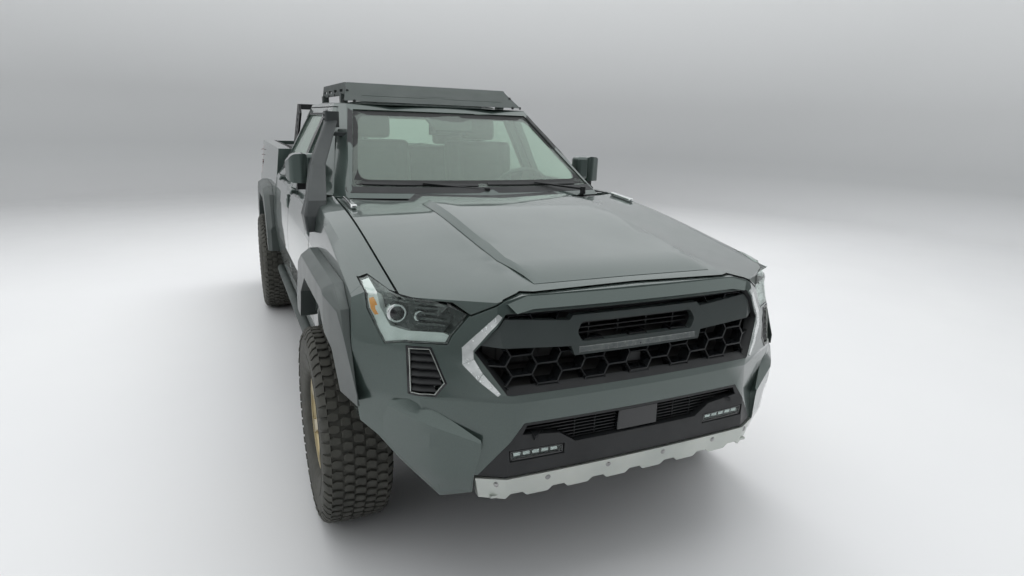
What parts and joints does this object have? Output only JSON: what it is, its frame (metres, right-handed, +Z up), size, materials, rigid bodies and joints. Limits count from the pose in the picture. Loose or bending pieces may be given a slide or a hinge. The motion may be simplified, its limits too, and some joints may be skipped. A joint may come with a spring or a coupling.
{
  "type": "lifted off-road pickup truck",
  "caption": "Lifted double-cab four-wheel-drive pickup with wide wheel arch flares, raised air intake, roof rack, sport bar, rock rails, skid plate and opening doors, hood and tailgate.",
  "frame": {"origin": "on the ground, midway between the nose and the rear bumper, on the centre line", "axes": "-Y is forward, +X is the truck's left side, +Z is up"},
  "size_m": [2.064, 5.4174, 1.906],
  "materials": {
    "bare_aluminium": "satin",
    "bare_steel": "dull",
    "bed_liner": "sprayed liner",
    "black_trim": "fine grained",
    "body_paint": "metallic clearcoat",
    "cabin_trim": "soft grain",
    "cast_metal": "raw cast",
    "chassis_black": "satin",
    "flare_finish": "satin",
    "grey_trim": "fine grained",
    "lamp_lens": "smoked lens",
    "red_lens": "red lens",
    "rim_bronze": "painted bronze",
    "seat_cloth": "woven",
    "tyre_rubber": "matt",
    "window_glass": "clear, pale green"
  },
  "bodies": {
    "chassis": {"bed_sides": "body_paint", "bed_tub": "bed_liner", "cab_floor": "cabin_trim", "cab_frame": "body_paint", "corner_vents": "black_trim", "cowl_panel": "black_trim", "dashboard": "cabin_trim", "driveline": "cast_metal", "engine_block": "cast_metal", "exhaust": "bare_steel", "front_bumper": "body_paint", "front_structure": "chassis_black", "front_wings": "body_paint", "fuel_tank": "chassis_black", "grille_bar": "grey_trim", "grille_mesh": "black_trim", "headlamps": "lamp_lens", "ladder_frame": "chassis_black", "lower_grille": "black_trim", "rear_axle": "chassis_black", "rear_bumper": "chassis_black", "rear_window": "window_glass", "rock_rails": "grey_trim", "roof_panel": "body_paint", "roof_rack": "grey_trim", "seats": "seat_cloth", "skid_plate": "bare_aluminium", "snorkel": "grey_trim", "sport_bar": "grey_trim", "suspension": "chassis_black", "tail_lamps": "red_lens", "wheel_arch_flares": "flare_finish", "wheel_liners": "black_trim", "windscreen": "window_glass"},
    "front_left_door": {"front_left_door": "body_paint", "front_left_window": "window_glass", "left_mirror": "body_paint"},
    "front_right_door": {"front_right_door": "body_paint", "front_right_window": "window_glass", "right_mirror": "body_paint"},
    "rear_left_door": {"rear_left_door": "body_paint", "rear_left_window": "window_glass"},
    "rear_right_door": {"rear_right_door": "body_paint", "rear_right_window": "window_glass"},
    "hood": {"hood": "body_paint"},
    "tailgate": {"tailgate": "body_paint"},
    "front_left_knuckle": {"front_left_knuckle": "cast_metal"},
    "front_right_knuckle": {"front_right_knuckle": "cast_metal"},
    "front_left_wheel": {"front_left_rim": "rim_bronze", "front_left_tyre": "tyre_rubber"},
    "front_right_wheel": {"front_right_rim": "rim_bronze", "front_right_tyre": "tyre_rubber"},
    "rear_left_wheel": {"rear_left_rim": "rim_bronze", "rear_left_tyre": "tyre_rubber"},
    "rear_right_wheel": {"rear_right_rim": "rim_bronze", "rear_right_tyre": "tyre_rubber"}
  },
  "joints": [
    {"name": "front_left_door_hinge", "type": "hinge", "parent": "chassis", "child": "front_left_door", "pos_m": [0.914, -1.11, 0.9], "axis": [0, 0, -1], "range_deg": [0, 70]},
    {"name": "front_right_door_hinge", "type": "hinge", "parent": "chassis", "child": "front_right_door", "pos_m": [-0.914, -1.11, 0.9], "axis": [0, 0, 1], "range_deg": [0, 70]},
    {"name": "rear_left_door_hinge", "type": "hinge", "parent": "chassis", "child": "rear_left_door", "pos_m": [0.914, -0.086, 0.9], "axis": [0, 0, -1], "range_deg": [0, 70]},
    {"name": "rear_right_door_hinge", "type": "hinge", "parent": "chassis", "child": "rear_right_door", "pos_m": [-0.914, -0.086, 0.9], "axis": [0, 0, 1], "range_deg": [0, 70]},
    {"name": "hood_hinge", "type": "hinge", "parent": "chassis", "child": "hood", "pos_m": [0, -1.2, 1.262], "axis": [-1, 0, 0], "range_deg": [0, 50]},
    {"name": "tailgate_hinge", "type": "hinge", "parent": "chassis", "child": "tailgate", "pos_m": [0, 2.63, 0.888], "axis": [-1, 0, 0], "range_deg": [0, 90]},
    {"name": "left_steering", "type": "hinge", "parent": "chassis", "child": "front_left_knuckle", "pos_m": [0.8, -1.8, 0.419], "axis": [0, 0, 1], "range_deg": [-30, 30]},
    {"name": "right_steering", "type": "hinge", "parent": "chassis", "child": "front_right_knuckle", "pos_m": [-0.8, -1.8, 0.419], "axis": [0, 0, 1], "range_deg": [-30, 30]},
    {"name": "front_left_roll", "type": "hinge", "parent": "front_left_knuckle", "child": "front_left_wheel", "pos_m": [0.896, -1.8, 0.419], "axis": [1, 0, 0], "continuous": true},
    {"name": "front_right_roll", "type": "hinge", "parent": "front_right_knuckle", "child": "front_right_wheel", "pos_m": [-0.896, -1.8, 0.419], "axis": [1, 0, 0], "continuous": true},
    {"name": "rear_left_roll", "type": "hinge", "parent": "chassis", "child": "rear_left_wheel", "pos_m": [0.896, 1.55, 0.419], "axis": [1, 0, 0], "continuous": true},
    {"name": "rear_right_roll", "type": "hinge", "parent": "chassis", "child": "rear_right_wheel", "pos_m": [-0.896, 1.55, 0.419], "axis": [1, 0, 0], "continuous": true}
  ],
  "couplings": [
    {"joint": "right_steering", "follows": "left_steering", "ratio": 1}
  ]
}
